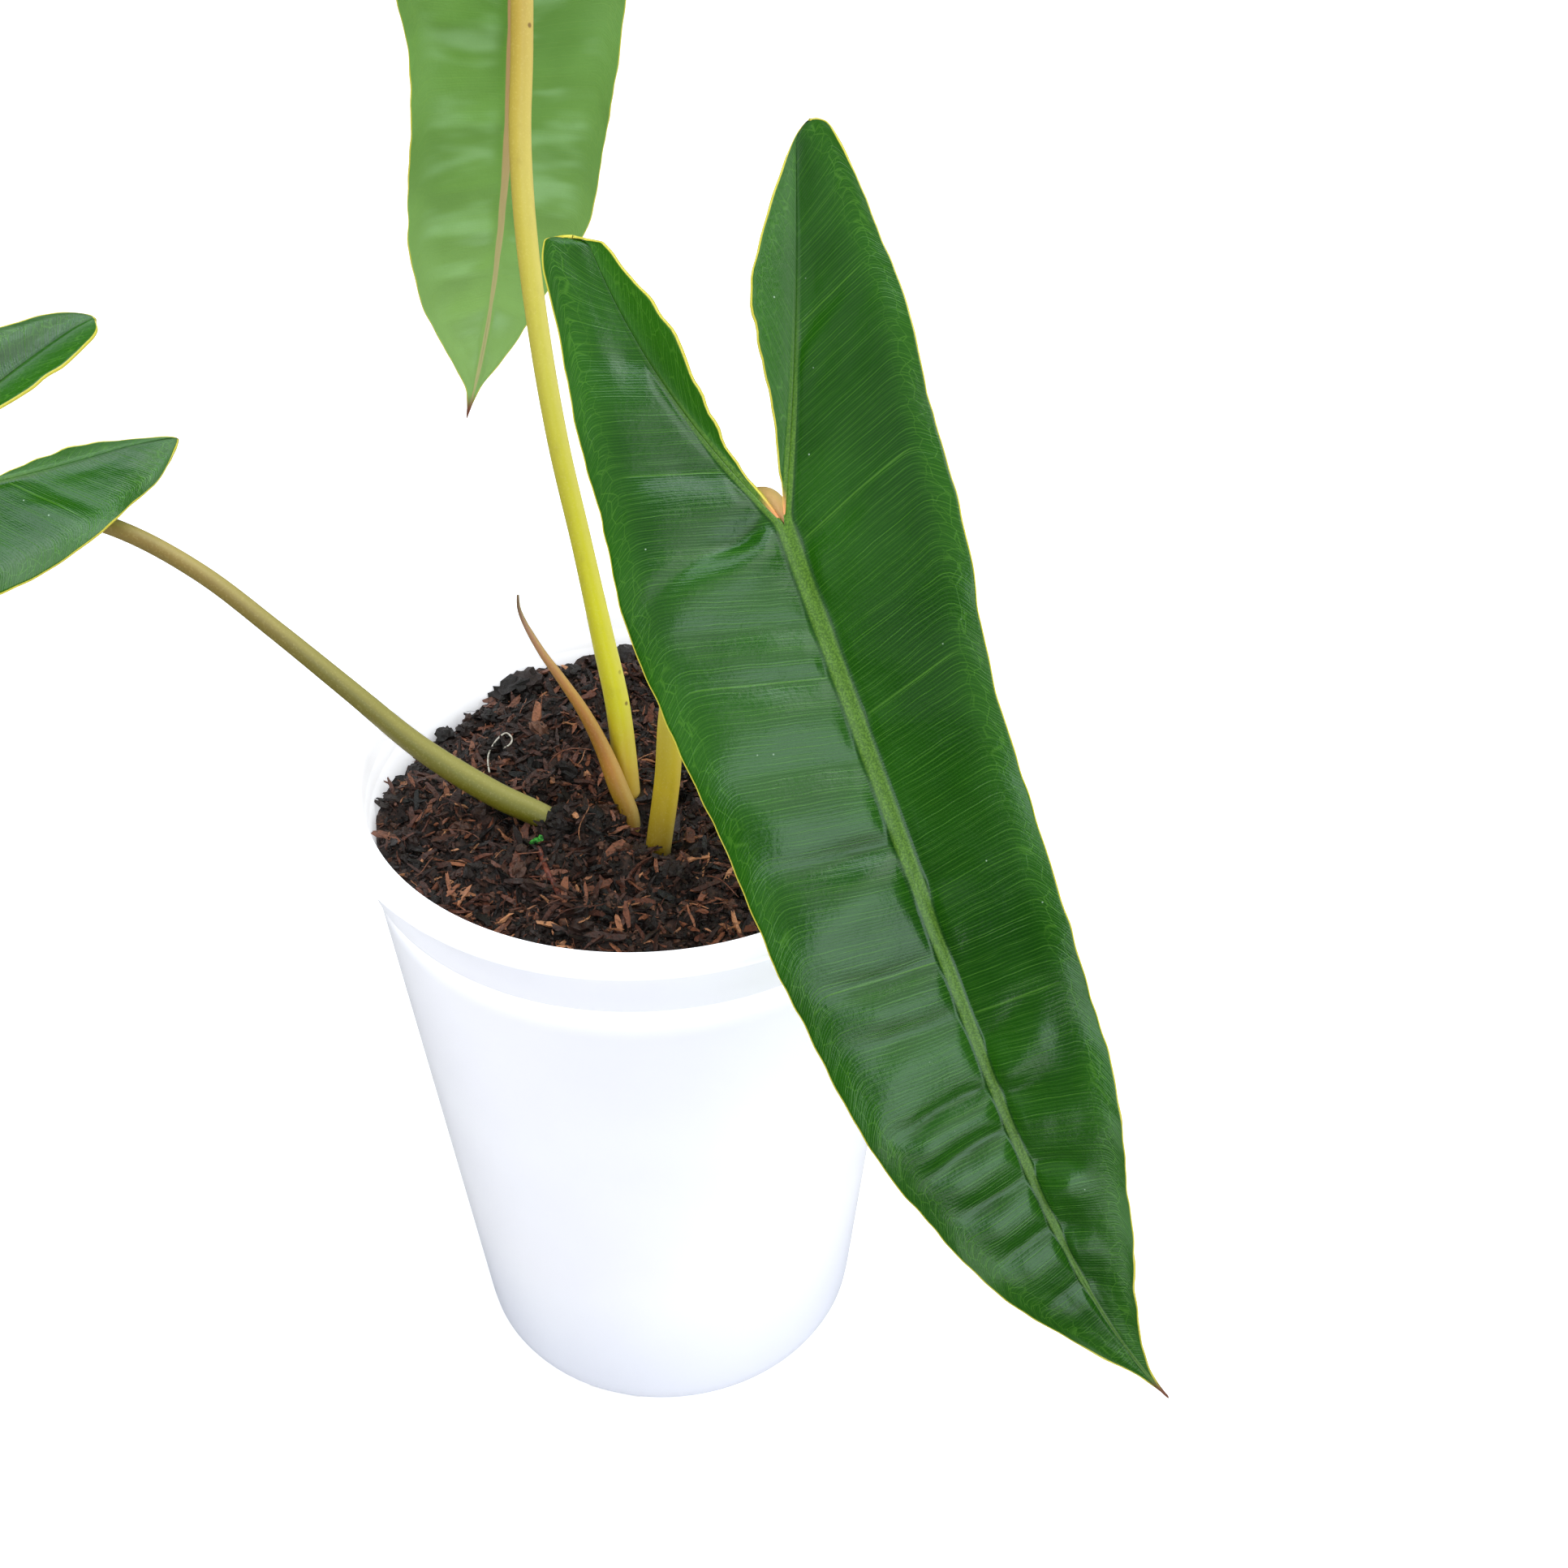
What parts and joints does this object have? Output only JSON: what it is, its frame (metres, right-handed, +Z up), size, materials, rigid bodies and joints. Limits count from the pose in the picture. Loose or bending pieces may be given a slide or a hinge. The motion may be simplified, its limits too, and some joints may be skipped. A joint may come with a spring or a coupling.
{
  "type": "potted philodendron billietiae",
  "caption": "Potted aroid house plant with long arrow-shaped leaves on arching stalks, rooted in dark potting mix in a plain tapered nursery pot.",
  "frame": {"origin": "centre of the pot's flat base, on the surface that the pot stands on", "axes": "+Z up, +Y to the side that the top leaf leans to, +X to the side that the front leaf hangs to, so the left leaf reaches out along -X"},
  "size_m": [0.4315, 0.2758, 0.5236],
  "materials": {
    "pot_plastic": "white injection-moulded plastic, slightly translucent, satin, with faint moulding rings",
    "potting_mix": "matt dark peat crumbs with red-brown bark and coir strands",
    "rootstock": "matt corky tan bark",
    "leaf_stalk": "smooth waxy yellow-green skin, golden ochre on the top leaf's stalk, with small brown specks",
    "leaf_blade": "glossy leathery dark green with fine close side veins, pale midrib and thin pale margin, paler matt green underneath",
    "shoot": "smooth rust-orange rolled leaf with a dark dry tip"
  },
  "bodies": {
    "root": {"pot": "pot_plastic", "soil": "potting_mix", "rootstock": "rootstock", "petiole_1": "leaf_stalk", "petiole_2": "leaf_stalk", "petiole_3": "leaf_stalk", "blade_1": "leaf_blade", "blade_2": "leaf_blade", "blade_3": "leaf_blade", "new_shoot": "shoot"}
  },
  "joints": []
}
